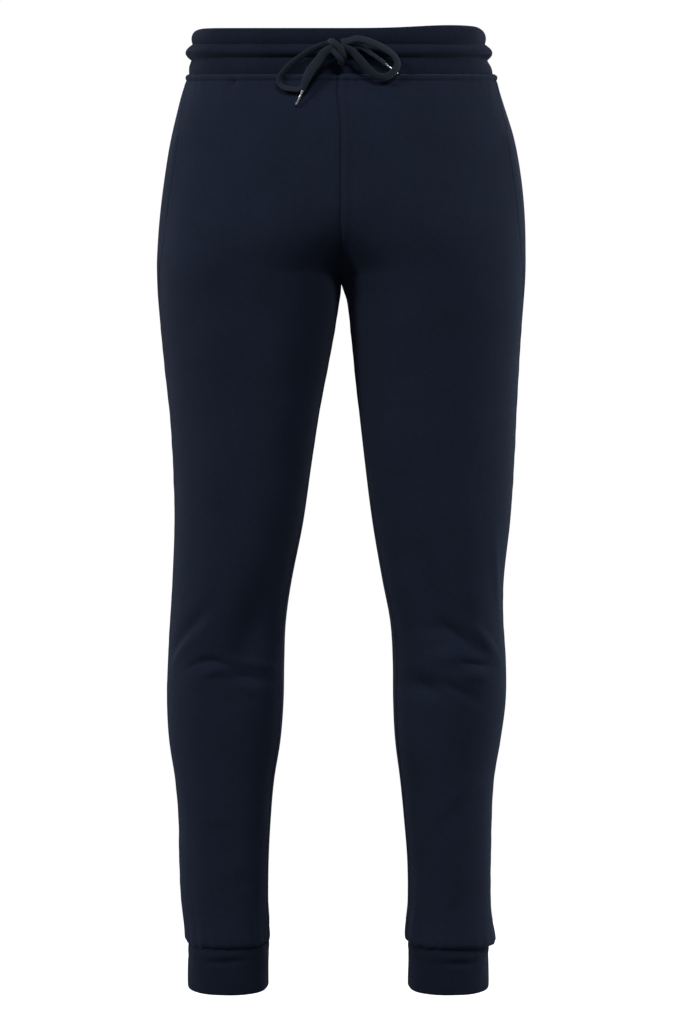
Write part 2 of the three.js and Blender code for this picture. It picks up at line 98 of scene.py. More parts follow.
def shaped_grid(name, columns, rows, shape):
    """A grid of quads whose points shape(u, v) places; it also gives each one's u and v in metres along the
    cloth."""
    flat = bmesh.new()
    bmesh.ops.create_grid(flat, x_segments=columns, y_segments=rows, size=0.5)
    mesh = bpy.data.meshes.new(name)
    flat.to_mesh(mesh)
    flat.free()
    plane = np.empty(len(mesh.vertices) * 3)
    mesh.vertices.foreach_get("co", plane)
    plane = plane.reshape(-1, 3) + 0.5
    u = np.clip(np.round(plane[:, 0] * columns) / columns, 0, 1)
    v = np.clip(np.round(plane[:, 1] * rows) / rows, 0, 1)
    points, weave = shape(u, v)
    mesh.vertices.foreach_set("co", (points * MM).astype(np.float32).ravel())
    corners = np.empty(len(mesh.loops), int)
    mesh.loops.foreach_get("vertex_index", corners)
    layer = mesh.uv_layers.new(name="UVMap")
    layer.data.foreach_set("uv", (weave[corners] * MM).astype(np.float32).ravel())
    return mesh


def finish_piece(mesh, material, nodes, inside_out=False):
    """Turns a mesh into a piece that rides on the body and stands for its CAD nodes."""
    shape = bmesh.new()
    shape.from_mesh(mesh)
    if inside_out:
        bmesh.ops.reverse_faces(shape, faces=shape.faces)
    for face in shape.faces:
        face.smooth = True
    shape.to_mesh(mesh)
    shape.free()
    piece = bpy.data.objects.new(mesh.name, mesh)
    scene.collection.objects.link(piece)
    piece.data.materials.append(material)
    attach(piece, "root")
    if nodes:
        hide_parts(*nodes)
    return piece


def along_route(route, step):
    """Evenly spaced points on the smooth curve through a route, with the distance along it."""
    route = np.asarray(route, float)
    chord = np.r_[0, np.cumsum(np.linalg.norm(np.diff(route, axis=0), axis=1))]
    fine = np.linspace(0, chord[-1], 400)
    curve = np.stack([smooth(chord, route[:, axis], fine) for axis in range(3)], axis=1)
    run = np.r_[0, np.cumsum(np.linalg.norm(np.diff(curve, axis=0), axis=1))]
    places = np.linspace(0, run[-1], int(run[-1] / step) + 1)
    return np.stack([np.interp(places, run, curve[:, axis]) for axis in range(3)], axis=1), places


def braid_tube(name, route, width, depth, rolls=(0, 0), swell=(1, 1), round_ends=False):
    """A flat cord swept along a route. rolls are degrees by which its flat side turns from the
    front, and swell its breadth as a share of the width, both evenly spaced along it."""
    centre, places = along_route(route, 0.7)
    ahead = unit(np.gradient(centre, axis=0))
    aside = unit(np.cross(ahead, [0, -1, 0]))
    share = places / places[-1]
    roll = np.radians(smooth(np.linspace(0, 1, len(rolls)), rolls, share))[:, None]
    facing = unit(np.cross(aside, ahead))
    across = aside * np.cos(roll) + facing * np.sin(roll)
    out = facing * np.cos(roll) - aside * np.sin(roll)
    breadth = smooth(np.linspace(0, 1, len(swell)), swell, share)
    if round_ends:
        near = np.minimum(places, places[-1] - places) / (width * 0.4)
        breadth = breadth * np.sqrt(np.clip(1 - (1 - np.minimum(near, 1)) ** 2, 0.002, 1))

    def shape(u, v):
        turn = 2 * math.pi * u
        row = np.round(v * (len(places) - 1)).astype(int)
        wide = (width / 2) * breadth[row]
        thick = (depth / 2) * np.minimum(1, 0.35 + 0.65 * breadth[row])
        plait = 1 + 0.05 * np.sin(places[row] * 2 * math.pi / 3.1 + 6 * np.abs(np.cos(turn)))
        points = (
            centre[row]
            + across[row] * (wide * np.cos(turn))[:, None]
            + out[row] * (thick * np.sin(turn) * plait)[:, None]
        )
        return points, np.stack([u * width * 2.2, places[row]], axis=1)

    mesh = shaped_grid(name, 20, len(places) - 1, shape)
    tube = bmesh.new()
    tube.from_mesh(mesh)
    bmesh.ops.remove_doubles(tube, verts=tube.verts, dist=1e-6)
    rims = [edge for edge in tube.edges if edge.is_boundary]
    bmesh.ops.holes_fill(tube, edges=rims, sides=0)
    bmesh.ops.recalc_face_normals(tube, faces=tube.faces)
    tube.to_mesh(mesh)
    tube.free()
    return mesh, [tuple(point) for point in (centre * MM)[::3]], places[-1] * MM


def new_material(name, base, roughness):
    material = bpy.data.materials.new(name)
    material.use_nodes = True
    shader = material.node_tree.nodes["Principled BSDF"]
    shader.inputs["Base Color"].default_value = (*base, 1)
    shader.inputs["Roughness"].default_value = roughness
    return material, material.node_tree.nodes, material.node_tree.links, shader


def maths(nodes, links, operation, first, second=None):
    """One sum of a pattern; either value may be a number or another node's output."""
    node = nodes.new("ShaderNodeMath")
    node.operation = operation
    for socket, value in zip(node.inputs, (first, second)):
        if isinstance(value, (int, float)):
            socket.default_value = value
        elif value is not None:
            links.new(value, socket)
    return node.outputs[0]


def mottled(nodes, links, base, spread, *patterns):
    """The base colour, lighter or darker by spread where the patterns' mean is high or low."""
    total = patterns[0]
    for pattern in patterns[1:]:
        total = maths(nodes, links, "ADD", total, pattern)
    mean = maths(nodes, links, "DIVIDE", total, float(len(patterns)))
    ramp = nodes.new("ShaderNodeValToRGB")
    ramp.color_ramp.elements[0].position = 0.3
    ramp.color_ramp.elements[0].color = (*[part * (1 - spread) for part in base], 1)
    ramp.color_ramp.elements[1].position = 0.7
    ramp.color_ramp.elements[1].color = (*[part * (1 + spread) for part in base], 1)
    links.new(mean, ramp.inputs["Fac"])
    return ramp.outputs["Color"]


def noise(nodes, links, scale, detail=2.0):
    """Soft blotches, fixed in the cloth's own place."""
    place = nodes.new("ShaderNodeTexCoord")
    node = nodes.new("ShaderNodeTexNoise")
    node.inputs["Scale"].default_value = scale
    node.inputs["Detail"].default_value = detail
    links.new(place.outputs["Object"], node.inputs["Vector"])
    return node.outputs["Fac"]


def yarn_axes(nodes, links):
    """How far across and along the cloth a point lies, in metres."""
    place = nodes.new("ShaderNodeTexCoord")
    parts = nodes.new("ShaderNodeSeparateXYZ")
    links.new(place.outputs["UV"], parts.inputs["Vector"])
    return parts.outputs["X"], parts.outputs["Y"]


def raise_pattern(nodes, links, shader, height, strength, distance):
    bump = nodes.new("ShaderNodeBump")
    bump.inputs["Strength"].default_value = strength
    bump.inputs["Distance"].default_value = distance
    links.new(height, bump.inputs["Height"])
    links.new(bump.outputs["Normal"], shader.inputs["Normal"])


# Braid: strands cross the cord in two slants and meet along its middle.
cord_cloth, nodes, links, shader = new_material("cotton_braid", CORD_COLOUR, 0.85)
shader.inputs["Specular IOR Level"].default_value = 0.12
shader.inputs["Sheen Weight"].default_value = 0.1
shader.inputs["Sheen Roughness"].default_value = 0.5
across, along = yarn_axes(nodes, links)
fold_line = maths(nodes, links, "PINGPONG", across, CORD_WIDTH * MM * 0.55)
slanted = maths(nodes, links, "ADD", along, fold_line)
strand = maths(nodes, links, "SINE", maths(nodes, links, "MULTIPLY", slanted, 2 * math.pi / 0.0017))
ply = maths(nodes, links, "SINE", maths(nodes, links, "MULTIPLY", across, 2 * math.pi / 0.0012))
strand = maths(nodes, links, "ADD", strand, maths(nodes, links, "MULTIPLY", ply, 0.4))
strand = maths(nodes, links, "MULTIPLY_ADD", strand, 0.35)
fuzz = noise(nodes, links, 900.0)
links.new(mottled(nodes, links, CORD_COLOUR, 0.3, strand, fuzz), shader.inputs["Base Color"])
raise_pattern(nodes, links, shader, strand, 0.5, 0.0004)

LOOP_LEFT = [
    (-9, -113.4, -12.6), (-15, -113, -12.2), (-22, -111.8, -14.4), (-32, -110, -19), (-47, -107.5, -29),
    (-57, -106.3, -38), (-62, -105.8, -45), (-62, -105.8, -50.5), (-57, -107.4, -55.5),
    (-50, -109, -57), (-43, -110, -57.5), (-36.5, -110.2, -53), (-32, -110.2, -43),
    (-25, -110.4, -33), (-17, -110.8, -26), (-9, -111.5, -21),
]
LOOP_RIGHT = [
    (0, -117.5, -11), (8, -117.4, -9.5), (16.5, -117, -7.5), (30, -114.5, -10.5), (44, -111.5, -16.8),
    (54, -109.2, -24), (57, -108.8, -32.4), (52.5, -109.2, -40.3), (44.5, -110.7, -45.2),
    (36, -112.5, -44.2), (29, -114.5, -39), (19, -117, -28.3), (10, -118, -19.5), (0, -118.5, -16),
]
END_LEFT = [
    (-5, -119, -17), (-11, -119, -18), (-17, -118.8, -22), (-23, -118.3, -30), (-30, -118, -39),
    (-35, -117.6, -49), (-38.6, -117, -60),
]
END_RIGHT = [
    (-3, -112.5, -16), (5, -112.5, -14.6), (13, -111.8, -13.8), (21, -110.4, -15), (29, -108.6, -20),
    (38, -106.2, -26), (45, -105, -31.2),
]


def cord_piece(name, route, rolls, swell):
    mesh, path, length = braid_tube(name, route, CORD_WIDTH, CORD_DEPTH, rolls, swell)
    piece = finish_piece(mesh, cord_cloth, [name])
    return piece, path, length


loop_left, loop_left_path, loop_left_length = cord_piece(
    "drawcord_loop_left", LOOP_LEFT, (36, 38, 40, 47, 50, 54, 48), (0.8, 0.85, 0.85, 0.9, 0.95, 0.9)
)
loop_right, loop_right_path, loop_right_length = cord_piece(
    "drawcord_loop_right", LOOP_RIGHT, (30, 32, 35, 42, 35, 30, 30, 35), (0.9, 1, 1, 0.95, 1, 0.9)
)
end_left, end_left_path, end_left_length = cord_piece(
    "drawcord_end_left", END_LEFT, (20, 10, 0, 0, 20), (0.9, 1, 1.12, 1.05, 0.6)
)
end_right, end_right_path, end_right_length = cord_piece(
    "drawcord_end_right", END_RIGHT, (30, 40, 45, 50, 40), (0.85, 0.85, 0.85, 0.8, 0.7)
)

# The knot: one wrap over the front, a second that shows below it, and the two roots behind,
# which go into the buttonholes.
KNOT_STRANDS = [
    ([(-7, -110, -9.5), (-10.8, -113.5, -9.5), (-9.8, -119.5, -10.8), (-5.6, -122.4, -13.2),
      (-1.2, -122.9, -17.4), (1.6, -121.5, -22.4), (2.6, -117.5, -26.6), (0.5, -112, -28)],
     6.0, 3.8, (0, 10, 0, 0, 10, 0)),
    ([(-9, -115, -15), (-8.4, -118.4, -18.6), (-5.2, -120.2, -22.6), (-2, -120.4, -26.6), (0.2, -118, -30),
      (0, -112.5, -31)], 6.0, 4.4, (0, 0, 0, 0)),
    ([(-6, -111, -16), (-9, -110, -17), (-13, -107.6, -18), (-15, -103, -18)], 5.0, 4.0, (0, 0)),
    ([(-4, -111, -18), (4, -109, -18.5), (12, -107.6, -18), (15, -103, -18)], 5.0, 4.0, (0, 0)),
]
knot_shape = bmesh.new()
for number, (route, width, depth, rolls) in enumerate(KNOT_STRANDS):
    mesh, path, length = braid_tube(f"knot_strand_{number}", route, width, depth, rolls)
    knot_shape.from_mesh(mesh)
    bpy.data.meshes.remove(mesh)
knot_mesh = bpy.data.meshes.new("drawcord_knot")
knot_shape.to_mesh(knot_mesh)
knot_shape.free()
knot = finish_piece(knot_mesh, cord_cloth, ["drawcord_knot"])

# Tips: a sleeve of bright metal, rolled tight on the cord and crimped twice.
TIP_RADIUS = 1.5
TIP_AIMS = {"left": (-0.43, 0.2, -0.9), "right": (0.79, 0.08, -0.6)}
TIP_PROFILE = [(0, 0), (1.1, 0), (1.16, 0.3), (1.0, 1.6), (0.74, 2.2), (0.92, 2.8), (0.86, 4.2),
               (0.68, 4.8), (0.84, 5.4), (0.76, 15), (0.5, 15.8), (0, 16)]

bright_metal, nodes, links, shader = new_material("bright_metal", (0.78, 0.79, 0.82), 0.3)
shader.inputs["Metallic"].default_value = 1.0
scratches = noise(nodes, links, 1400.0, 3.0)
links.new(mottled(nodes, links, (0.78, 0.79, 0.82), 0.12, scratches), shader.inputs["Base Color"])
raise_pattern(nodes, links, shader, scratches, 0.15, 0.0001)

for side, route in (("left", END_LEFT), ("right", END_RIGHT)):
    tip_shape = bmesh.new()
    line = [tip_shape.verts.new((radius * TIP_RADIUS * MM, 0, along * MM)) for radius, along in TIP_PROFILE]
    edges = [tip_shape.edges.new(pair) for pair in zip(line, line[1:])]
    bmesh.ops.spin(
        tip_shape, geom=line + edges, axis=(0, 0, 1), cent=(0, 0, 0),
        angle=2 * math.pi, steps=24, use_merge=True,
    )
    bmesh.ops.remove_doubles(tip_shape, verts=tip_shape.verts, dist=1e-6)
    bmesh.ops.recalc_face_normals(tip_shape, faces=tip_shape.faces)
    aim = Vector(TIP_AIMS[side]).normalized()
    turn = Vector((0, 0, 1)).rotation_difference(aim).to_matrix().to_4x4()
    place = Matrix.Translation((Vector(route[-1]) - aim * 0.4) * MM) @ turn
    bmesh.ops.transform(tip_shape, matrix=place, verts=tip_shape.verts)
    tip_mesh = bpy.data.meshes.new(f"cord_tip_{side}")
    tip_shape.to_mesh(tip_mesh)
    tip_shape.free()
    finish_piece(tip_mesh, bright_metal, [f"cord_tip_{side}"])


# ---- Front and back panels ----------------------------------------------------------------
# Loopback fleece: a smooth knitted jersey face over a soft brushed back, about 2 mm thick. Two
# fronts and two backs, sewn along the centre seams, the side seams and the inseams; the seam
# allowances lie inside and make the cloth roll under along every join.
FLEECE = 2.0
FRONT_CUT = (0.292, 0.93, 0.190)    # width, length and area of what shows, in metres
BACK_CUT = (0.391, 0.94, 0.244)
SEAM_GAP = 0.3
WAIST_TOP = 23.0
WAIST_SEAM = -27.0
CROTCH = -241.0
CUFF_SEAM = -930.0
CUFF_HEM = -979.0
FORK_TOP, FORK_POWER, FORK_ARCH = -60.0, 3.5, 1.5    # how the legs round away from the centre
SQUARENESS = 0.05
POCKET_TOP, POCKET_FOOT = -86.0, -229.0
HEM_WIDTH = 9.0
PANEL_COLUMNS = 112
PANEL_ROWS = 330
PLEAT_AROUND = 92           # a small tuck caught in the band's seam
PLEAT_DEPTH = 3.2

# Each leg's outer and inner edge as seen from the front, out from the centre plane.
OUTLINE = {
    "left": [
        (23, 147.5, 0), (6, 150.5, 0), (-7.5, 153.5, 0), (-27, 160, 0), (-52, 167.5, 0), (-94, 180, 0),
        (-136, 187.5, 0), (-178, 191.5, 0), (-220, 192.5, 0), (-241, 192, 0.4), (-262, 190.5, 7),
        (-304, 187, 12), (-366, 183.5, 17.8), (-429, 180, 25), (-492, 176, 33.5), (-555, 169.5, 44),
        (-597, 169, 51.5), (-639, 171.5, 54.4), (-681, 171.5, 55.5), (-722, 166.5, 57.6),
        (-764, 159.5, 62.5), (-806, 157, 66.5), (-848, 156, 70), (-890, 156, 70.5), (-912, 157.5, 68.5),
        (-924, 158.5, 68.5), (-930, 154.5, 70.5), (-979, 154, 70.3),
    ],
    "right": [
        (23, 153, 0), (6, 155.5, 0), (-7.5, 157, 0), (-27, 159.5, 0), (-52, 167, 0), (-94, 177, 0),
        (-136, 183.5, 0), (-178, 188.5, 0), (-220, 191.5, 0), (-241, 191.5, 0.2), (-262, 190.5, 2.4),
        (-304, 186.5, 9.4), (-366, 180, 21), (-429, 175, 30.4), (-492, 173, 39.8), (-555, 175.5, 52.4),
        (-597, 178, 58), (-639, 180, 59.7), (-681, 181, 61), (-722, 179, 64.5), (-764, 173, 71),
        (-806, 169.5, 74.3), (-848, 168.5, 76.4), (-890, 166.5, 77), (-912, 163.5, 76),
        (-924, 161.5, 76.2), (-930, 160, 76.5), (-979, 159.5, 75.8),
    ],
}

# Level, depth of the front and of the back, how steeply a level line falls towards the front,
# and how many degrees the side seam and the inseam lie forward of the leg's edges.
DEPTHS = [
    (23, 99, 99, 0.168, 12, 0), (-27, 103, 103, 0.152, 12, 0), (-60, 112, 113, 0.13, 17, 0),
    (-100, 119, 124, 0.1, 21, 0), (-150, 122, 132, 0.06, 22, 0), (-200, 119, 133, 0.02, 22, 0),
    (-241, 111, 125, 0, 20, 0), (-304, 100, 109, 0, 11, 4), (-366, 91, 98, 0, 4, 8),
    (-429, 84, 90, 0, 0, 12), (-492, 78, 82, 0, -3, 15), (-555, 74, 74, 0, -5, 18),
    (-597, 72.5, 68, 0, -5, 19), (-639, 70, 65, 0, -5, 20), (-681, 65, 65, 0, -5, 20),
    (-722, 60, 66, 0, -5, 20), (-764, 55, 65, 0, -5, 20), (-806, 51, 62, 0, -5, 19),
    (-848, 47, 57, 0.01, -5, 18), (-890, 45, 51, 0.04, -5, 18), (-912, 45.5, 49, 0.08, -5, 18),
    (-924, 45.5, 48, 0.1, -5, 18), (-930, 42.5, 45.5, 0.1, -5, 18), (-979, 42, 45, 0.1, -5, 18),
]
CENTRE_SEAM = [(-27, -3), (-47, -3.4), (-75, -0.6), (-100, 0), (-241, 0)]

# Folds: level, degrees round the leg (0 outer edge, 90 front, 180 inner edge, -90 back), how
# far each runs and spreads, how high it stands or how deep it sinks, how many degrees it climbs
# towards the inner edge, and how much its ends bend down.
Fold = namedtuple("Fold", "z around run spread height climb bend", defaults=(0, 0))
FOLDS = {
    "left": [
        # Above the knee a broad hollow runs down from the inner edge, and a ridge at the outer one.
        Fold(-578, 98, 56, 22, -8.5, 72), Fold(-545, 39, 38, 5, 1.8, 79), Fold(-620, 112, 45, 48, -9, 10),
        Fold(-604, 98, 24, 7, -2.6, 8, 2), Fold(-612, 77, 26, 7, -4.6, 38), Fold(-613, 54, 22, 5, 2.8, 50),
        Fold(-632, 92, 20, 9, 3.8), Fold(-640, 64, 16, 4.5, -3.2, 8), Fold(-652, 66, 16, 7, 2.8),
        Fold(-664, 119, 24, 12, -8.5, 12), Fold(-666, 84, 22, 6, -3, 28), Fold(-692, 121, 24, 24, -3.5, 8),
        # Long shallow drags on the shin and the thigh.
        Fold(-787, 69, 34, 8, -1.5, -45), Fold(-772, 77, 30, 7, 1.0, -45), Fold(-706, 104, 26, 10, 0.9, 20),
        Fold(-470, 74, 60, 16, 0.9, 74), Fold(-880, 60, 26, 9, -0.9, -30),
        # Behind the knee and under the seat.
        Fold(-612, -80, 34, 9, -6.5, 12, 2), Fold(-655, -110, 30, 9, -6.5, -14, -2),
        Fold(-633, -100, 26, 7, 4, 4), Fold(-594, -112, 20, 5, -2.2, -18), Fold(-676, -78, 22, 6, -2.2, 14),
        Fold(-300, -125, 50, 14, -4.5, 35, 3), Fold(-276, -132, 44, 7, 2, 32),
        Fold(-334, -112, 36, 9, -1.8, 28), Fold(-250, -60, 60, 14, 1.2, 10),
    ],
    "right": [
        Fold(-605, 119, 54, 22, -7.5, 77), Fold(-624, 114, 42, 46, -5, 8), Fold(-604, 54, 30, 8, -3.6, 50),
        Fold(-622, 48, 22, 6, 2.4, 50),
        Fold(-636, 75, 20, 5, -3.6, 0, 6), Fold(-646, 84, 13, 5, 3, 0, 3), Fold(-640, 124, 22, 5, 2.6, -12),
        Fold(-654, 117, 18, 5.5, -2.8, -10), Fold(-664, 112, 26, 7, 1.4, -8),
        Fold(-801, 81, 12, 6, 1.2), Fold(-700, 70, 30, 12, 0.9, -24), Fold(-460, 100, 64, 16, 0.9, -74),
        Fold(-760, 60, 26, 8, -0.9, -40), Fold(-868, 110, 24, 9, -0.9, 24),
        Fold(-618, -95, 34, 9, -6.5, -10, 2), Fold(-662, -70, 28, 9, -6.5, 16, -2),
        Fold(-640, -84, 26, 7, 4, 3), Fold(-600, -64, 20, 5, -2.2, 20), Fold(-682, -100, 24, 6, -2.2, -12),
        Fold(-306, -122, 50, 14, -4.5, 32, 3), Fold(-282, -130, 42, 7, 2, 30),
        Fold(-342, -110, 36, 9, -1.8, 26), Fold(-246, -64, 56, 14, 1.2, 12),
    ],
}


def read(rows, z, column):
    """A table's column at each level, as a smooth curve through its rows."""
    rows = np.asarray(rows, float)
    return smooth(-rows[:, 0], rows[:, column], -z)


def leg_section(side, z):
    """The middle and half width of one leg's section, and its inner edge."""
    outer = read(OUTLINE[side], z, 1)
    inner = read(OUTLINE[side], z, 2)
    fall = np.clip((z - FORK_TOP) / (CROTCH - FORK_TOP), 0, 1)
    rounding = 1 - (1 - fall**FORK_POWER) ** FORK_ARCH
    forked = -outer * (1 - rounding) / (1 + rounding) + SEAM_GAP / 2
    inner = np.where(z > CROTCH, forked, inner)
    return (outer + inner) / 2, (outer - inner) / 2, inner


def fold_lift(folds, angle, z, half):
    lift = np.zeros_like(z)
    for fold in folds:
        turn = angle - math.radians(fold.around)
        arc = np.arctan2(np.sin(turn), np.cos(turn)) * half
        climb = math.radians(fold.climb)
        along = (arc * math.cos(climb) + (z - fold.z) * math.sin(climb)) / fold.run
        drop = (z - fold.z) * math.cos(climb) - arc * math.sin(climb) + fold.bend * along**2
        lift += fold.height * np.exp(-(along**2) - (drop / fold.spread) ** 2)
    return lift


def leg_point(side, angle, z, proud):
    """The cloth's outer face on one leg, at angles round it and levels, moved out by proud."""
    middle, half, inner = leg_section(side, z)
    lift = fold_lift(FOLDS[side], angle, z, half) + proud
    corner = 1 + SQUARENESS * np.sin(2 * angle) ** 2
    depth = np.where(np.sin(angle) > 0, read(DEPTHS, z, 1), read(DEPTHS, z, 2))
    x = middle + (half + lift) * np.cos(angle) * corner
    y = -(depth + lift) * np.sin(angle) * corner
    return np.stack([x if side == "left" else -x, y, z + read(DEPTHS, z, 3) * y], axis=1)


def panel_edges(side, face, z):
    """The angles at which a panel starts, at the centre seam or inseam, and ends, at the side."""
    middle, half, inner = leg_section(side, z)
    way = 1 if face == "front" else -1
    drift = read(CENTRE_SEAM, z, 1) if face == "front" else np.zeros_like(z)
    cut = SEAM_GAP / 2 + (drift if side == "left" else -drift)
    gap = SEAM_GAP / 2 / half
    start = math.pi - way * np.radians(read(DEPTHS, z, 5)) - gap
    fork = np.full_like(z, math.pi / 2)
    for _ in range(12):
        corner = 1 + SQUARENESS * np.sin(2 * fork) ** 2
        fork = np.arccos(np.clip((cut - middle) / (half * corner), -1, 1))
    start = np.where(inner < cut, np.minimum(start, fork), start)
    return way * start, np.radians(read(DEPTHS, z, 4)) + way * gap


def bell(distance, spread):
    return np.exp(-((distance / spread) ** 2))


def gathers(around, z, seam, reach, seed, lap=440.0):
    """Small uneven tucks that a seam draws into the cloth, and that fade away from it. They
    repeat after a lap round the piece."""
    draw = np.random.default_rng(seed)
    away = np.abs(z - seam)
    lift = np.zeros_like(z)
    place = -lap / 2
    while place < lap / 2 - 4:
        width = draw.uniform(2.2, 5.2)
        depth = draw.uniform(0.25, 1.0)
        length = reach * draw.uniform(0.35, 1.15)
        lean = draw.uniform(-0.18, 0.18)
        off = (around - place - lean * away + lap / 2) % lap - lap / 2
        lift += depth * bell(off, width) * np.exp(-((away / length) ** 1.4))
        place += draw.uniform(5.5, 15.0)
    return lift


SEEDS = {"front_left": 11, "front_right": 12, "back_left": 13, "back_right": 14}


def panel_face(side, face, angle, z, rise=0.0):
    """Points of a sewn panel's outer face, moved out by rise, and how far across they lie."""
    start, end = panel_edges(side, face, z)
    middle, half, inner = leg_section(side, z)
    depth = np.where(np.sin(angle) > 0, read(DEPTHS, z, 1), read(DEPTHS, z, 2))
    mean = (half + depth) / 2
    from_start = np.abs(angle - start) * mean
    from_end = np.abs(end - angle) * mean
    around = (angle - math.pi / 2) * mean
    below = WAIST_SEAM - z
    above = z - CUFF_SEAM
    seed = SEEDS[f"{face}_{side}"]

    # Along the seams the edge rolls under, with a faint pucker beside it.
    pucker = 0.5 + 0.5 * np.sin(z / 5.1 + 1.3 * np.sin(z / 23)) * np.sin(z / 13 + 2)
    side_seam = -1.3 * bell(from_end, 1.5) + 0.4 * pucker * bell(from_end - 4.5, 2.6)
    lift = rise - 1.3 * bell(from_start, 1.5) + (0.2 + 0.35 * pucker) * bell(from_start - 4.5, 2.6)
    mouth = 1 / (1 + np.exp((z - POCKET_TOP) / 2.5)) / (1 + np.exp((POCKET_FOOT - z) / 2.5))
    if face == "front":
        lift += (1 - mouth) * side_seam
        lift += mouth * (1.5 + 0.5 * np.sin((z - 30) / 31)) * bell(from_end, 14)
        lift -= mouth * 0.5 * bell(from_end - HEM_WIDTH - 1.2, 1.2)
        lift -= (bell(z - POCKET_TOP, 3) + bell(z - POCKET_FOOT, 3)) * bell(from_end, 9)
    else:
        lift += side_seam - mouth * 1.3 * bell(from_end, 8)
    if face == "front" and side == "left":
        lift += 0.9 * bell(from_start - 3.5, 3.5) * np.clip((z - CROTCH) / 30, 0, 1)
    if face == "front":
        lift -= 1.1 * bell(from_start, 1.3) * np.clip((z - CROTCH) / 30, 0, 1)

    # Below the band the seam allowance makes a ridge, and the elastic draws up small tucks.
    lift += 1.9 * bell(below - 1.9, 1.7) - 0.35 * bell(below - 5.8, 1.6) - 0.8 * bell(below, 0.5)
    lift += 0.8 * gathers(around, z, WAIST_SEAM, 34, seed) - 1.25
    if face == "front" and side == "right":
        lift -= PLEAT_DEPTH * bell(around + PLEAT_AROUND + 0.3 * below, 3.0) * bell(below - 9, 7)
    # Above the cuff the leg blouses over the seam and gathers more deeply.
    lift += 1.5 * gathers(around, z, CUFF_SEAM, 30, seed + 10) - 1.1 * bell(above, 1.3)
    # Between its folds the leg bellows a little.
    broad = 0.5 * np.sin(z / 47 + 2.3 * np.sin(angle) + seed) * np.sin(angle * 2 + z / 90)
    lift += broad * np.clip(below / 60, 0, 1) * np.clip(above / 60, 0, 1)

    # At the cuff the leg's fullness hangs over the seam, furthest at the left leg's outer side.
    hang = {"left": 0.25 + 0.75 * bell(angle, 0.9), "right": np.full_like(z, 0.2)}[side]
    lift += 1.5 * hang * bell(above - 5, 5)
    place = leg_point(side, angle, z, lift)
    place[:, 2] -= 6.5 * hang * bell(above - 5.5, 4.5)
    # Down to the crotch the panel reaches the centre seam, and no part of it crosses over.
    sign = 1 if side == "left" else -1
    drift = read(CENTRE_SEAM, z, 1) if face == "front" else np.zeros_like(z)
    edge = drift + sign * SEAM_GAP / 2
    joined = bell(from_start, 3.5) * np.clip((z - CROTCH) / 2 + 0.25, 0, 1)
    place[:, 0] += joined * (leg_point(side, angle, z, 0)[:, 0] - place[:, 0])
    over = (z > CROTCH - 40) & (sign * (place[:, 0] - edge) < 0)
    place[:, 0] = np.where(over, edge, place[:, 0])
    return place, (from_end - from_start) / 2


def panel_mesh(side, face):
    # Rows stand closer together at both seams, and where the knee folds are.
    levels = np.linspace(WAIST_SEAM - SEAM_GAP / 2, CUFF_SEAM + SEAM_GAP / 2, 4 * PANEL_ROWS)
    crowding = 1 + 1.6 * bell(levels - WAIST_SEAM, 22) + 1.4 * bell(levels + 632, 46)
    crowding += 1.8 * bell(levels - CUFF_SEAM, 26)
    share = np.r_[0, np.cumsum(crowding[1:])]
    rows = np.interp(np.linspace(0, share[-1], PANEL_ROWS + 1), share, levels)

    def shape(u, v):
        z = rows[np.round(v * PANEL_ROWS).astype(int)]
        start, end = panel_edges(side, face, z)
        eased = u - 0.88 / (2 * math.pi) * np.sin(2 * math.pi * u)
        place, across = panel_face(side, face, start + (end - start) * eased, z)
        return place, np.stack([across, z], axis=1)

    return shaped_grid(f"{face}_{side}", PANEL_COLUMNS, PANEL_ROWS, shape)


# Jersey: columns of small V stitches. The dye is uneven at two scales, and the face has a
# faint bloom of loose fibre.
FLEECE_COLOUR = (0.0140, 0.0198, 0.0385)
STITCH_WIDTH, STITCH_HEIGHT = 0.0011, 0.0009

fleece_cloth, nodes, links, shader = new_material("fleece_jersey", FLEECE_COLOUR, 0.92)
shader.inputs["Specular IOR Level"].default_value = 0.06
shader.inputs["Sheen Weight"].default_value = 0.10
shader.inputs["Sheen Roughness"].default_value = 0.45
shader.inputs["Sheen Tint"].default_value = (0.55, 0.65, 1.0, 1)
across, along = yarn_axes(nodes, links)
column = maths(nodes, links, "PINGPONG", across, STITCH_WIDTH / 2)
leg_of_v = maths(nodes, links, "ADD", along, maths(nodes, links, "MULTIPLY", column, 1.2))
stitch = maths(nodes, links, "SINE", maths(nodes, links, "MULTIPLY", leg_of_v, 2 * math.pi / STITCH_HEIGHT))
wale = maths(nodes, links, "SINE", maths(nodes, links, "MULTIPLY", across, 2 * math.pi / STITCH_WIDTH))
knit = maths(nodes, links, "ADD", stitch, maths(nodes, links, "MULTIPLY", wale, 0.7))
fine = noise(nodes, links, 230.0, 4.0)
broad = noise(nodes, links, 22.0, 3.0)
fibre = noise(nodes, links, 1500.0, 3.0)
links.new(
    mottled(nodes, links, FLEECE_COLOUR, 0.2, fine, broad, fibre), shader.inputs["Base Color"]
)
surface = maths(nodes, links, "ADD", maths(nodes, links, "MULTIPLY", knit, 0.16), fibre)
surface = maths(nodes, links, "ADD", surface, fine)
raise_pattern(nodes, links, shader, surface, 0.35, 0.0006)

for side in ("left", "right"):
    for face in ("front", "back"):
        name = f"{face}_{side}"
        mesh = panel_mesh(side, face)
        # The grid runs from the inside edge to the side seam, so its faces turn with the side.
        turned = (side == "left") == (face == "back")
        panel = finish_piece(mesh, fleece_cloth, [name], inside_out=turned)
        wall = panel.modifiers.new("wall", "SOLIDIFY")
        wall.thickness = FLEECE * MM
        wall.offset = -1
        if face == "back":
            width, length, area = BACK_CUT


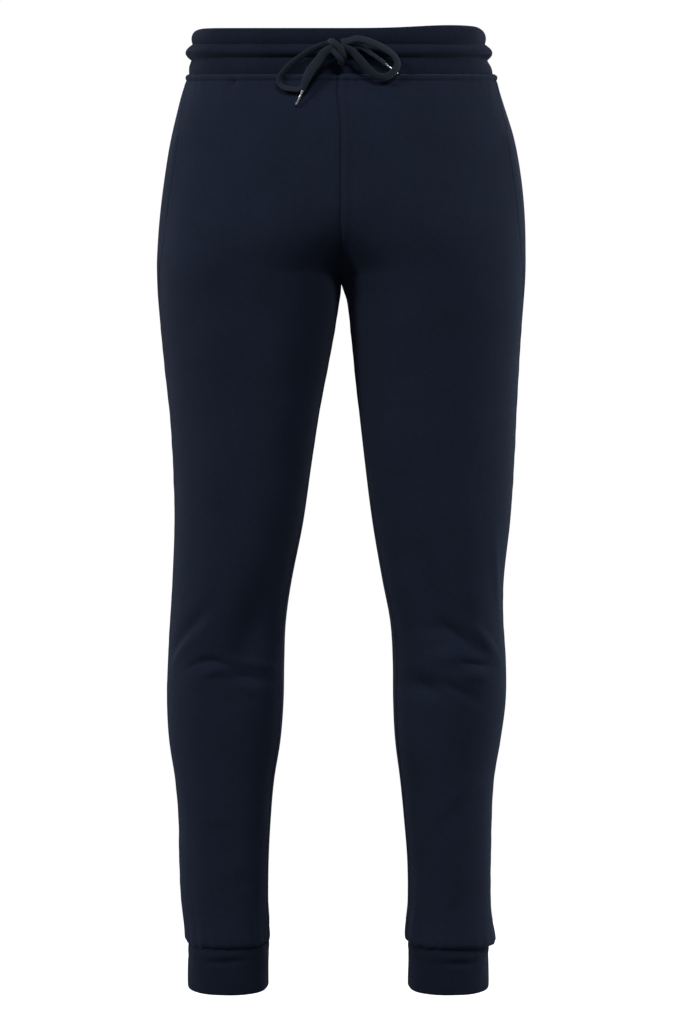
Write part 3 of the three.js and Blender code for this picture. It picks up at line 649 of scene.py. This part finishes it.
# ---- Stitches -----------------------------------------------------------------------------
# Spun polyester thread in the cloth's own navy. Each stitch is a short plump length that dips
# into the cloth at both ends; a row of them is one piece.
THREAD_COLOUR = (0.0135, 0.0190, 0.036)
STITCH_LENGTH = 2.7
STITCH_PITCH = 3.3
THREAD_RADIUS = 0.27

thread, nodes, links, shader = new_material("navy_thread", THREAD_COLOUR, 0.6)
shader.inputs["Specular IOR Level"].default_value = 0.25
twist = noise(nodes, links, 2600.0)
links.new(mottled(nodes, links, THREAD_COLOUR, 0.25, twist), shader.inputs["Base Color"])
raise_pattern(nodes, links, shader, twist, 0.3, 0.0001)


stitch_shape = bmesh.new()
bmesh.ops.create_uvsphere(stitch_shape, u_segments=6, v_segments=4, radius=1)
stitch_mesh = bpy.data.meshes.new("stitch")
stitch_shape.to_mesh(stitch_mesh)
stitch_shape.free()


def stitch_pairs(ends, out):
    """Stitches from a row of points, two for each, and the ways out of the cloth there."""
    return [(ends[i], ends[i + 1], out[i]) for i in range(0, len(ends), 2)]


def sew(name, stitches):
    """One piece from stitches: each a start, an end and the way that it stands out."""
    row = bmesh.new()
    for start, end, out in stitches:
        start, end, out = Vector(start), Vector(end), Vector(out)
        ahead = (end - start).normalized()
        out = (out - ahead * out.dot(ahead)).normalized()
        turn = Matrix((ahead, out.cross(ahead), out)).transposed().to_4x4()
        size = Matrix.Diagonal(((end - start).length / 2, THREAD_RADIUS, THREAD_RADIUS, 1))
        placed = stitch_mesh.copy()
        placed.transform(Matrix.Scale(MM, 4) @ Matrix.Translation((start + end) / 2) @ turn @ size)
        row.from_mesh(placed)
        bpy.data.meshes.remove(placed)
    mesh = bpy.data.meshes.new(name)
    row.to_mesh(mesh)
    row.free()
    return finish_piece(mesh, thread, [])


# ---- Pocket hems --------------------------------------------------------------------------
# Each slant pocket opens in the side seam: the front panel's edge is turned back in a flat hem,
# 9 mm wide, and sewn down with two rows of stitches. Bar tacks close its top and its foot.
HEM_RISE = 0.85
HEM_HALF_WALL = 0.5
HEM_ROWS = 120
HEM_SIDES = 20


def across_from_side(side, z, distance):
    """The angle that lies so many millimetres in from the side seam on a front panel."""
    end = panel_edges(side, "front", z)[1]
    half = leg_section(side, z)[1]
    depth = read(DEPTHS, z, 1)
    return end + distance * 2 / (half + depth)


def close_shell(mesh, capped=False):
    """Welds a grid's edges where they meet, caps its ends if asked, and turns its faces out."""
    shell = bmesh.new()
    shell.from_mesh(mesh)
    bmesh.ops.remove_doubles(shell, verts=shell.verts, dist=1e-6)
    if capped:
        rims = [edge for edge in shell.edges if edge.is_boundary]
        bmesh.ops.holes_fill(shell, edges=rims, sides=0)
    bmesh.ops.recalc_face_normals(shell, faces=shell.faces)
    shell.to_mesh(mesh)
    shell.free()


for side in ("left", "right"):

    def hem_shape(u, v):
        turn = 2 * math.pi * u
        z = POCKET_TOP + (POCKET_FOOT - POCKET_TOP) * v
        flat = np.sign(np.cos(turn)) * np.abs(np.cos(turn)) ** 0.45
        distance = HEM_WIDTH / 2 * (1 - flat)
        rise = HEM_RISE + HEM_HALF_WALL * np.sin(turn)
        place, across = panel_face(side, "front", across_from_side(side, z, distance), z, rise)
        return place, np.stack([across, z], axis=1)

    mesh = shaped_grid(f"pocket_hem_{side}", HEM_SIDES, HEM_ROWS, hem_shape)
    close_shell(mesh, capped=True)
    hem = finish_piece(mesh, fleece_cloth, [f"pocket_hem_{side}"])

    seams = []
    top_of_hem = HEM_RISE + HEM_HALF_WALL
    for distance in (2.2, 7.6):
        starts = np.arange(POCKET_TOP - 2, POCKET_FOOT + 4, -STITCH_PITCH)
        ends = np.stack([starts, starts - STITCH_LENGTH], axis=1).ravel()
        angle = across_from_side(side, ends, distance)
        place = panel_face(side, "front", angle, ends, top_of_hem)[0]
        out = panel_face(side, "front", angle, ends, top_of_hem + 1)[0] - place
        seams += stitch_pairs(place, out)
    for bar in (POCKET_TOP, POCKET_FOOT):
        level = np.repeat(bar + np.linspace(-1.2, 1.2, 9), 2)
        angle = across_from_side(side, level, np.tile([-1.0, HEM_WIDTH + 0.5], 9))
        place = panel_face(side, "front", angle, level, top_of_hem + 0.1)[0]
        seams += stitch_pairs(place, [(0.5 if side == "left" else -0.5, -1, 0)] * len(place))
    rows = sew(f"pocket_stitches_{side}", seams)
    width, length, area = FRONT_CUT


# ---- Waistband ----------------------------------------------------------------------------
# A tube of rib knit, folded over elastic and over the drawcord's tunnel. Two rows of stitches
# hold it down and leave three soft rolls, the middle one fullest over the cord.
BAND_LINES = (23.0, 6.0, -7.5, -27.0)
BAND_WALL = 4.5
BAND_GIRTH = 2 * math.pi * 130
BAND_COLUMNS = 440
BAND_RADIUS = 132           # turns an angle into a length along the rib
BAND_HALF_WIDTH = 157
BAND_INSIDE = 76            # the profile's step from which the band's inside is reached
BAND_INSIDE_SHIFT = 400     # keeps the inside's pattern apart from the outside's
SIDE_BULGE = 4.5            # the middle roll stands out at the sides
TOP_RISE_X, TOP_RISE_SPREAD, TOP_RISE = 112, 48, 3.0
CORNER_DROP = 4.0
SIDE_SAG = 3.5              # at the sides the lower row of stitches is drawn down
LIP_Z = 15.5                # the top edge turns over from here

RIB_COLOUR = (0.0105, 0.0155, 0.0300)
RIB_PITCH = 0.0021

rib_cloth, nodes, links, shader = new_material("rib_knit", RIB_COLOUR, 0.92)
shader.inputs["Specular IOR Level"].default_value = 0.06
shader.inputs["Sheen Weight"].default_value = 0.09
shader.inputs["Sheen Roughness"].default_value = 0.45
shader.inputs["Sheen Tint"].default_value = (0.55, 0.65, 1.0, 1)
across, along = yarn_axes(nodes, links)
ribs = maths(nodes, links, "SINE", maths(nodes, links, "MULTIPLY", across, 2 * math.pi / RIB_PITCH))
loops = maths(nodes, links, "SINE", maths(nodes, links, "MULTIPLY", along, 2 * math.pi / STITCH_HEIGHT))
knit = maths(nodes, links, "ADD", ribs, maths(nodes, links, "MULTIPLY", loops, 0.3))
fine = noise(nodes, links, 260.0, 4.0)
broad = noise(nodes, links, 28.0, 3.0)
fibre = noise(nodes, links, 1500.0, 3.0)
links.new(mottled(nodes, links, RIB_COLOUR, 0.2, fine, broad, fibre), shader.inputs["Base Color"])
surface = maths(nodes, links, "ADD", maths(nodes, links, "MULTIPLY", knit, 0.35), fibre)
surface = maths(nodes, links, "ADD", surface, fine)
raise_pattern(nodes, links, shader, surface, 0.4, 0.0006)


def band_profile():
    """Level and height of the band's section: up the outside, over the top, down the inside."""
    top, upper_row, lower_row, seam = BAND_LINES
    seam += SEAM_GAP / 2
    outside = []
    for low, high, height in ((seam, lower_row, 1.9), (lower_row, upper_row, 5.3)):
        for step in np.linspace(0, 1, 22)[:-1]:
            outside.append((low + (high - low) * step, height * math.sin(math.pi * step) ** 0.85 - 0.9))
    for step in np.linspace(0, 1, 14)[:-1]:
        rise = 3.1 * math.sin(math.pi / 2 * step) ** 0.85 - 0.9
        outside.append((upper_row + (LIP_Z - upper_row) * step, rise))
    middle = (2.2 - BAND_WALL) / 2
    for turn in np.linspace(0, math.pi, 20):
        outside.append((LIP_Z + (top - LIP_Z) * math.sin(turn), middle + (2.2 - middle) * math.cos(turn)))
    for step in np.linspace(0, 1, 20)[1:]:
        outside.append((LIP_Z + (seam - LIP_Z) * step, -BAND_WALL))
    outside.append(outside[0])
    return np.array(outside)


def band_face(turn, z, rise):
    """Points of the band, at angles round the garment and levels, moved out by rise."""
    right = np.cos(turn) < 0
    left_place = leg_point("left", turn, z, rise)
    right_place = leg_point("right", math.pi - turn, z, rise)
    place = np.where(right[:, None], right_place, left_place)
    share = np.clip((z - BAND_LINES[1]) / (WAIST_TOP - BAND_LINES[1]), 0, 1)
    near = np.where(place[:, 1] < 0, bell(place[:, 0] - TOP_RISE_X, TOP_RISE_SPREAD), 0)
    drop = bell(np.sin(turn), 0.3)
    place[:, 2] += share * (near * TOP_RISE - drop * CORNER_DROP)
    place[:, 2] -= SIDE_SAG * drop * bell(z - BAND_LINES[2], 9)
    return place


def band_crinkle(turn, z):
    """Small upright tucks that the elastic draws into the rib, deepest at the stitch rows."""
    around = turn * BAND_GIRTH / (2 * math.pi)
    tucks = np.zeros_like(z)
    for line, depth, reach in zip(BAND_LINES, (0.6, 1, 1, 0.8), (7, 9, 9, 8)):
        tucks += depth * gathers(around, z, line, reach, int(31 + line), BAND_GIRTH)
    tucks += SIDE_BULGE * bell(z - (BAND_LINES[1] + BAND_LINES[2]) / 2, 5.5) * bell(np.sin(turn), 0.35)
    slow = 0.35 * np.sin(turn * 5 + 1) * np.sin(z / 9 + turn * 3) + 0.25 * np.sin(turn * 13 + z / 17)
    return 0.45 * tucks - 0.3 + slow


profile = band_profile()


def band_shape(u, v):
    turn = 2 * math.pi * u - math.pi
    step = np.round(v * (len(profile) - 1)).astype(int)
    z, rise = profile[step, 0], profile[step, 1]
    outside = np.clip((rise + BAND_WALL) / BAND_WALL, 0, 1)
    lift = rise + outside * band_crinkle(turn, z)
    place = band_face(turn, z, lift)
    for x in (-EYELET_X, EYELET_X):
        dent = bell(place[:, 0] - x, 3.0) * bell(z - EYELET_Z, 4.6) * (place[:, 1] < 0) * outside
        place[:, 1] += 2.4 * dent
    return place, np.stack([turn * BAND_RADIUS, z + BAND_INSIDE_SHIFT * (step > BAND_INSIDE)], axis=1)


mesh = shaped_grid("waistband", BAND_COLUMNS, len(profile) - 1, band_shape)
close_shell(mesh)
waistband = finish_piece(mesh, rib_cloth, ["waistband"])

seams = []
for line in BAND_LINES[1:3]:
    starts = np.arange(int(BAND_GIRTH / STITCH_PITCH)) * STITCH_PITCH
    ends = np.stack([starts, starts + STITCH_LENGTH], axis=1).ravel()
    turn = ends / BAND_GIRTH * 2 * math.pi - math.pi
    level = np.full_like(turn, line)
    lift = band_crinkle(turn, level) - 0.85
    place = band_face(turn, level, lift)
    out = band_face(turn, level, lift + 1) - place
    seams += stitch_pairs(place, out)
# Each buttonhole is rimmed by short stitches, side by side.
for x in (-EYELET_X, EYELET_X):
    turn = np.repeat(np.linspace(0, 2 * math.pi, 31)[:-1], 2)
    reach = np.tile([0.9, 1.4], 30)
    across = x + 2.5 * reach * np.cos(turn)
    level = EYELET_Z + 4.4 * (reach - 0.1) * np.sin(turn)
    place = band_face(np.arccos(across / BAND_HALF_WIDTH), level, np.tile([-1.1, -0.6], 30))
    seams += stitch_pairs(place, [(0, -1, 0)] * len(place))
rows = sew("waistband_stitches", seams)


# ---- Cuffs --------------------------------------------------------------------------------
# Rib knit, folded double so that its lower edge is a soft fold. It is narrower than the leg,
# which is gathered into it, and the leg's fullness hangs over the seam.
CUFF_WALL = 3.0
CUFF_COLUMNS = 200
CUFF_RADIUS = 44
CUFF_INSIDE = 52            # as for the band
CUFF_INSIDE_SHIFT = 90


def cuff_profile():
    seam = CUFF_SEAM - SEAM_GAP / 2
    section = [(seam + (CUFF_SEAM - 12 - seam) * step, -0.8 + 1.4 * math.sin(math.pi / 2 * step) ** 0.8)
               for step in np.linspace(0, 1, 16)[:-1]]
    lip = CUFF_HEM + 3.0
    section += [(z, 0.6) for z in np.linspace(CUFF_SEAM - 12, lip, 22)[:-1]]
    middle = (0.6 - CUFF_WALL) / 2
    for turn in np.linspace(0, math.pi, 16):
        section.append((lip - (lip - CUFF_HEM) * math.sin(turn), middle + (0.6 - middle) * math.cos(turn)))
    section += [(z, -CUFF_WALL) for z in np.linspace(lip, seam, 20)[1:]]
    section.append(section[0])
    return np.array(section)


profile_of_cuff = cuff_profile()

for side in ("left", "right"):
    seed, middle_of_crease = {"left": (41, 1.33), "right": (42, 1.53)}[side]

    def cuff_shape(u, v):
        turn = 2 * math.pi * u - math.pi
        step = np.round(v * (len(profile_of_cuff) - 1)).astype(int)
        z, rise = profile_of_cuff[step, 0], profile_of_cuff[step, 1]
        outside = np.clip((rise + CUFF_WALL) / CUFF_WALL, 0, 1)
        around = turn * CUFF_RADIUS
        ripple = 0.7 * gathers(around, z, CUFF_SEAM, 16, seed, 2 * math.pi * CUFF_RADIUS) - 0.2
        crease_level = CUFF_SEAM - 15 + 2.2 * np.sin(turn + 0.6 + seed)
        crease = -1.9 * bell(z - crease_level, 3.0) + 1.1 * bell(z - crease_level - 7.5, 3.4)
        crease *= 0.15 + 0.95 * bell(turn - middle_of_crease, 0.45) + 0.5 * bell(turn + 1.2, 0.5)
        slow = 0.5 * np.sin(turn * 3 + seed) * np.sin((z + 955) / 13) + 0.2 * np.sin(turn * 9 + z / 9)
        lift = rise + outside * (ripple + crease + slow)
        pattern = np.stack([around, z + CUFF_INSIDE_SHIFT * (step > CUFF_INSIDE)], axis=1)
        return leg_point(side, turn, z, lift), pattern

    mesh = shaped_grid(f"cuff_{side}", CUFF_COLUMNS, len(profile_of_cuff) - 1, cuff_shape)
    close_shell(mesh)
    cuff = finish_piece(mesh, rib_cloth, [f"cuff_{side}"])


# ---- Floor and light ----------------------------------------------------------------------
# A pale floor that glows a little, so that it stays white, and soft panels of light: a key high
# at the wearer's right, one above the front, a strip at each side and two behind.
FLOOR = -1.065
FLOOR_RADIUS = 1.1

floor_paint, nodes, links, shader = new_material("pale_floor", (0.9, 0.9, 0.9), 0.9)
links.new(mottled(nodes, links, (0.9, 0.9, 0.9), 0.02, noise(nodes, links, 3.0)), shader.inputs["Base Color"])
shader.inputs["Emission Color"].default_value = (1, 1, 1, 1)
shader.inputs["Emission Strength"].default_value = 0.72
floor_shape = bmesh.new()
bmesh.ops.create_circle(floor_shape, cap_ends=True, segments=96, radius=FLOOR_RADIUS)
bmesh.ops.translate(floor_shape, vec=(0, 0, FLOOR), verts=floor_shape.verts)
floor_mesh = bpy.data.meshes.new("floor")
floor_shape.to_mesh(floor_mesh)
floor_shape.free()
floor = bpy.data.objects.new("floor", floor_mesh)
floor.visible_diffuse = False
floor.visible_glossy = False
floor.data.materials.append(floor_paint)
scene.collection.objects.link(floor)


def light_panel(name, place, aim, width, height, power):
    light = bpy.data.lights.new(name, "AREA")
    light.shape = "RECTANGLE"
    light.size, light.size_y = width, height
    light.energy = power
    holder = bpy.data.objects.new(name, light)
    holder.location = place
    holder.rotation_euler = (Vector(aim) - Vector(place)).to_track_quat("-Z", "Y").to_euler()
    scene.collection.objects.link(holder)


light_panel("key", (-4.0, -3.6, 2.7), (0, 0, -0.5), 1.3, 1.3, 109)
light_panel("front_top", (0.7, -4.2, 3.1), (0, 0, -0.5), 1.3, 1.0, 98)
light_panel("side_left", (1.8, 0.25, -0.35), (0, 0, -0.45), 0.5, 1.6, 16)
light_panel("side_right", (-1.8, 0.4, -0.5), (0, 0, -0.6), 0.4, 1.4, 8)
light_panel("back_left", (1.6, 2.6, 0.8), (0, 0, -0.45), 1.0, 1.0, 10)
light_panel("back_right", (-1.9, 2.3, 0.5), (0, 0, -0.45), 1.0, 1.0, 10)

world = bpy.data.worlds.new("studio")
world.use_nodes = True
scene.world = world
nodes, links = world.node_tree.nodes, world.node_tree.links
ambient = nodes["Background"]
ambient.inputs["Color"].default_value = (1, 1, 1, 1)
ambient.inputs["Strength"].default_value = 0.13
backdrop = nodes.new("ShaderNodeBackground")
backdrop.inputs["Color"].default_value = (1, 1, 1, 1)
rays = nodes.new("ShaderNodeLightPath")
chosen = nodes.new("ShaderNodeMixShader")
links.new(rays.outputs["Is Camera Ray"], chosen.inputs["Fac"])
links.new(ambient.outputs[0], chosen.inputs[1])
links.new(backdrop.outputs[0], chosen.inputs[2])
links.new(chosen.outputs[0], nodes["World Output"].inputs["Surface"])
scene.view_settings.view_transform = "Standard"
